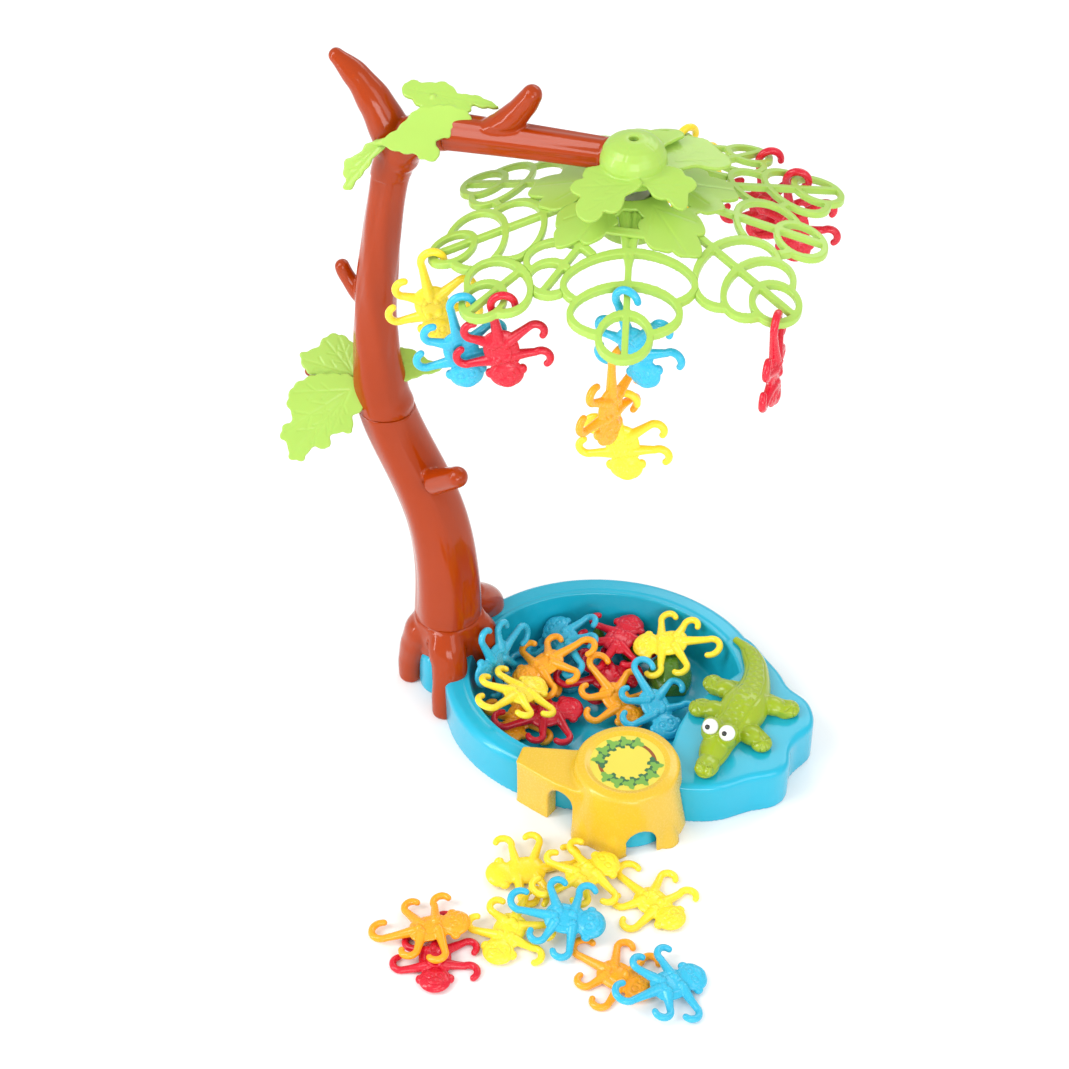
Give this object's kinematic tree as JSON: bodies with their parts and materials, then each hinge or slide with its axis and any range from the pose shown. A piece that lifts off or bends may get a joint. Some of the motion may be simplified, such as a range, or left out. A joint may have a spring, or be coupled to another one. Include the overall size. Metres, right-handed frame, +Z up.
{
  "type": "balancing tree game",
  "caption": "Balancing game: tree over a pond tray, with a swivelling, tilting leaf crown that small hook-limbed monkeys hang from.",
  "frame": {"origin": "middle of the pond tray's underside, on the table", "axes": "+Z up; +X from the trunk towards the hub and the bank; +Y away from the stump cover, to the far side"},
  "size_m": [0.2669, 0.2894, 0.3594],
  "materials": {
    "tray_blue": "gloss",
    "bark_brown": "gloss",
    "leaf_green": "gloss",
    "stump_yellow": "gloss",
    "crocodile_green": "gloss",
    "pond_crocodile_green": "gloss",
    "eye_white": "gloss",
    "pupil_black": "gloss",
    "hanger_white": "gloss",
    "screw_steel": "satin",
    "label_print": "matte",
    "monkey_yellow": "gloss",
    "monkey_red": "gloss",
    "monkey_blue": "gloss",
    "monkey_orange": "gloss"
  },
  "bodies": {
    "tree_base": {"bank_crocodile": "crocodile_green", "branch": "bark_brown", "crocodile_eyes": "eye_white", "crocodile_pupils": "pupil_black", "hub_bush": "leaf_green", "hub_cap": "leaf_green", "hub_screw": "screw_steel", "pond_crocodile": "pond_crocodile_green", "pond_tray": "tray_blue", "side_leaves": "leaf_green", "stump_cover": "stump_yellow", "stump_label": "label_print", "top_leaves": "leaf_green", "trunk_lower": "bark_brown", "trunk_root": "bark_brown", "trunk_upper": "bark_brown"},
    "hanger": {"hanger_stud": "hanger_white"},
    "tilt_cross": {"hanger_cross": "hanger_white"},
    "crown": {"crown_cup": "leaf_green", "crown_rosette": "leaf_green", "frond_back": "leaf_green", "frond_back_right": "leaf_green", "frond_front": "leaf_green", "frond_front_right": "leaf_green", "frond_front_small": "leaf_green", "frond_left": "leaf_green", "frond_left_back": "leaf_green", "frond_left_front": "leaf_green", "frond_right": "leaf_green"},
    "monkey_chain_orange": {"monkey_chain_orange": "monkey_orange"},
    "monkey_chain_yellow": {"monkey_chain_yellow": "monkey_yellow"},
    "monkey_hanging_blue_front": {"monkey_hanging_blue_front": "monkey_blue"},
    "monkey_hanging_blue_left": {"monkey_hanging_blue_left": "monkey_blue"},
    "monkey_hanging_red_back": {"monkey_hanging_red_back": "monkey_red"},
    "monkey_hanging_red_far": {"monkey_hanging_red_far": "monkey_red"},
    "monkey_hanging_red_front": {"monkey_hanging_red_front": "monkey_red"},
    "monkey_hanging_red_right": {"monkey_hanging_red_right": "monkey_red"},
    "monkey_hanging_yellow_far": {"monkey_hanging_yellow_far": "monkey_yellow"},
    "monkey_hanging_yellow_left": {"monkey_hanging_yellow_left": "monkey_yellow"},
    "monkey_pond_blue_back": {"monkey_pond_blue_back": "monkey_blue"},
    "monkey_pond_blue_bottom": {"monkey_pond_blue_bottom": "monkey_blue"},
    "monkey_pond_blue_front": {"monkey_pond_blue_front": "monkey_blue"},
    "monkey_pond_blue_leaning": {"monkey_pond_blue_leaning": "monkey_blue"},
    "monkey_pond_orange_bottom": {"monkey_pond_orange_bottom": "monkey_orange"},
    "monkey_pond_orange_middle": {"monkey_pond_orange_middle": "monkey_orange"},
    "monkey_pond_orange_top": {"monkey_pond_orange_top": "monkey_orange"},
    "monkey_pond_red_back": {"monkey_pond_red_back": "monkey_red"},
    "monkey_pond_red_front": {"monkey_pond_red_front": "monkey_red"},
    "monkey_pond_red_middle": {"monkey_pond_red_middle": "monkey_red"},
    "monkey_pond_yellow_left": {"monkey_pond_yellow_left": "monkey_yellow"},
    "monkey_pond_yellow_right": {"monkey_pond_yellow_right": "monkey_yellow"},
    "monkey_table_blue_middle": {"monkey_table_blue_middle": "monkey_blue"},
    "monkey_table_blue_right": {"monkey_table_blue_right": "monkey_blue"},
    "monkey_table_orange_left": {"monkey_table_orange_left": "monkey_orange"},
    "monkey_table_orange_right": {"monkey_table_orange_right": "monkey_orange"},
    "monkey_table_red_left": {"monkey_table_red_left": "monkey_red"},
    "monkey_table_yellow_back": {"monkey_table_yellow_back": "monkey_yellow"},
    "monkey_table_yellow_front": {"monkey_table_yellow_front": "monkey_yellow"},
    "monkey_table_yellow_middle": {"monkey_table_yellow_middle": "monkey_yellow"},
    "monkey_table_yellow_right": {"monkey_table_yellow_right": "monkey_yellow"}
  },
  "joints": [
    {"name": "crown_swivel", "type": "hinge", "parent": "tree_base", "child": "hanger", "pos_m": [0.005, 0, 0.331], "axis": [0, 0, 1], "continuous": true},
    {"name": "crown_tilt_x", "type": "hinge", "parent": "hanger", "child": "tilt_cross", "pos_m": [0.005, 0, 0.311], "axis": [1, 0, 0], "range_deg": [-7, 7]},
    {"name": "crown_tilt_y", "type": "hinge", "parent": "tilt_cross", "child": "crown", "pos_m": [0.005, 0, 0.311], "axis": [0, 1, 0], "range_deg": [-7, 7]},
    {"name": "hook_swing_hanging_yellow_left", "type": "hinge", "parent": "crown", "child": "monkey_hanging_yellow_left", "pos_m": [-0.06814, -0.04253, 0.29146], "axis": [0.4752, -0.8799, 0], "range_deg": [-26, 30]},
    {"name": "hook_swing_hanging_blue_left", "type": "hinge", "parent": "crown", "child": "monkey_hanging_blue_left", "pos_m": [-0.04357, -0.06682, 0.29176], "axis": [0.5011, -0.8654, 0], "range_deg": [-5, 30]},
    {"name": "hook_swing_hanging_red_front", "type": "hinge", "parent": "crown", "child": "monkey_hanging_red_front", "pos_m": [-0.02577, -0.06514, 0.29587], "axis": [0.388, -0.9217, 0], "range_deg": [-7, 12]},
    {"name": "hook_swing_hanging_blue_front", "type": "hinge", "parent": "crown", "child": "monkey_hanging_blue_front", "pos_m": [0.02343, -0.05203, 0.30332], "axis": [-0.104, -0.9946, 0], "range_deg": [-20, 1]},
    {"name": "hook_swing_hanging_red_right", "type": "hinge", "parent": "crown", "child": "monkey_hanging_red_right", "pos_m": [0.08129, -0.03357, 0.29563], "axis": [0.9927, 0.1203, 0], "range_deg": [-5, 30]},
    {"name": "hook_swing_hanging_red_back", "type": "hinge", "parent": "crown", "child": "monkey_hanging_red_back", "pos_m": [0.05733, 0.06596, 0.29864], "axis": [0.216, -0.9764, 0], "range_deg": [-28, 7]},
    {"name": "hook_swing_hanging_red_far", "type": "hinge", "parent": "crown", "child": "monkey_hanging_red_far", "pos_m": [0.04059, 0.07781, 0.29826], "axis": [0.4907, -0.8713, 0], "range_deg": [-12, 30]},
    {"name": "hook_swing_hanging_yellow_far", "type": "hinge", "parent": "crown", "child": "monkey_hanging_yellow_far", "pos_m": [0.0009, 0.07936, 0.29954], "axis": [0.8537, -0.5208, 0], "range_deg": [-30, 16]},
    {"name": "hook_swing_chain_orange", "type": "hinge", "parent": "monkey_hanging_blue_front", "child": "monkey_chain_orange", "pos_m": [0.02059, -0.05174, 0.27261], "axis": [0.9512, -0.3085, 0], "range_deg": [-20, 20]},
    {"name": "hook_swing_chain_yellow", "type": "hinge", "parent": "monkey_chain_orange", "child": "monkey_chain_yellow", "pos_m": [0.02225, -0.04664, 0.24666], "axis": [0.2084, -0.978, 0], "range_deg": [-20, 20]},
    {"name": "lift_table_yellow_right", "type": "slide", "parent": "tree_base", "child": "monkey_table_yellow_right", "axis": [0, 0, 1], "range_m": [0, 0.012]},
    {"name": "lift_table_yellow_back", "type": "slide", "parent": "monkey_table_yellow_right", "child": "monkey_table_yellow_back", "axis": [0, 0, 1], "range_m": [0, 0.012]},
    {"name": "lift_table_red_left", "type": "slide", "parent": "monkey_table_yellow_back", "child": "monkey_table_red_left", "axis": [0, 0, 1], "range_m": [0, 0.012]},
    {"name": "lift_table_orange_right", "type": "slide", "parent": "monkey_table_red_left", "child": "monkey_table_orange_right", "axis": [0, 0, 1], "range_m": [0, 0.012]},
    {"name": "lift_table_yellow_front", "type": "slide", "parent": "monkey_table_orange_right", "child": "monkey_table_yellow_front", "axis": [0, 0, 1], "range_m": [0, 0.012]},
    {"name": "lift_table_yellow_middle", "type": "slide", "parent": "monkey_table_yellow_front", "child": "monkey_table_yellow_middle", "axis": [0, 0, 1], "range_m": [0, 0.012]},
    {"name": "lift_table_orange_left", "type": "slide", "parent": "monkey_table_yellow_middle", "child": "monkey_table_orange_left", "axis": [0, 0, 1], "range_m": [0, 0.012]},
    {"name": "lift_table_blue_middle", "type": "slide", "parent": "monkey_table_orange_left", "child": "monkey_table_blue_middle", "axis": [0, 0, 1], "range_m": [0, 0.012]},
    {"name": "lift_table_blue_right", "type": "slide", "parent": "monkey_table_blue_middle", "child": "monkey_table_blue_right", "axis": [0, 0, 1], "range_m": [0, 0.012]},
    {"name": "lift_pond_blue_bottom", "type": "slide", "parent": "tree_base", "child": "monkey_pond_blue_bottom", "axis": [0, 0, 1], "range_m": [0, 0.012]},
    {"name": "lift_pond_orange_bottom", "type": "slide", "parent": "monkey_pond_blue_bottom", "child": "monkey_pond_orange_bottom", "axis": [0, 0, 1], "range_m": [0, 0.012]},
    {"name": "lift_pond_red_middle", "type": "slide", "parent": "monkey_pond_orange_bottom", "child": "monkey_pond_red_middle", "axis": [0, 0, 1], "range_m": [0, 0.012]},
    {"name": "lift_pond_red_front", "type": "slide", "parent": "monkey_pond_red_middle", "child": "monkey_pond_red_front", "axis": [0, 0, 1], "range_m": [0, 0.012]},
    {"name": "lift_pond_red_back", "type": "slide", "parent": "monkey_pond_red_front", "child": "monkey_pond_red_back", "axis": [0, 0, 1], "range_m": [0, 0.012]},
    {"name": "lift_pond_orange_middle", "type": "slide", "parent": "monkey_pond_red_back", "child": "monkey_pond_orange_middle", "axis": [0, 0, 1], "range_m": [0, 0.012]},
    {"name": "lift_pond_blue_back", "type": "slide", "parent": "monkey_pond_orange_middle", "child": "monkey_pond_blue_back", "axis": [0, 0, 1], "range_m": [0, 0.012]},
    {"name": "lift_pond_orange_top", "type": "slide", "parent": "monkey_pond_blue_back", "child": "monkey_pond_orange_top", "axis": [0, 0, 1], "range_m": [0, 0.012]},
    {"name": "lift_pond_blue_front", "type": "slide", "parent": "monkey_pond_orange_top", "child": "monkey_pond_blue_front", "axis": [0, 0, 1], "range_m": [0, 0.012]},
    {"name": "lift_pond_yellow_right", "type": "slide", "parent": "monkey_pond_blue_front", "child": "monkey_pond_yellow_right", "axis": [0.048, -0.4201, 0.9062], "range_m": [0, 0.012]},
    {"name": "lift_pond_blue_leaning", "type": "slide", "parent": "monkey_pond_blue_front", "child": "monkey_pond_blue_leaning", "axis": [0, 0, 1], "range_m": [0, 0.012]},
    {"name": "lift_pond_yellow_left", "type": "slide", "parent": "monkey_pond_blue_leaning", "child": "monkey_pond_yellow_left", "axis": [0, 0, 1], "range_m": [0, 0.012]}
  ]
}
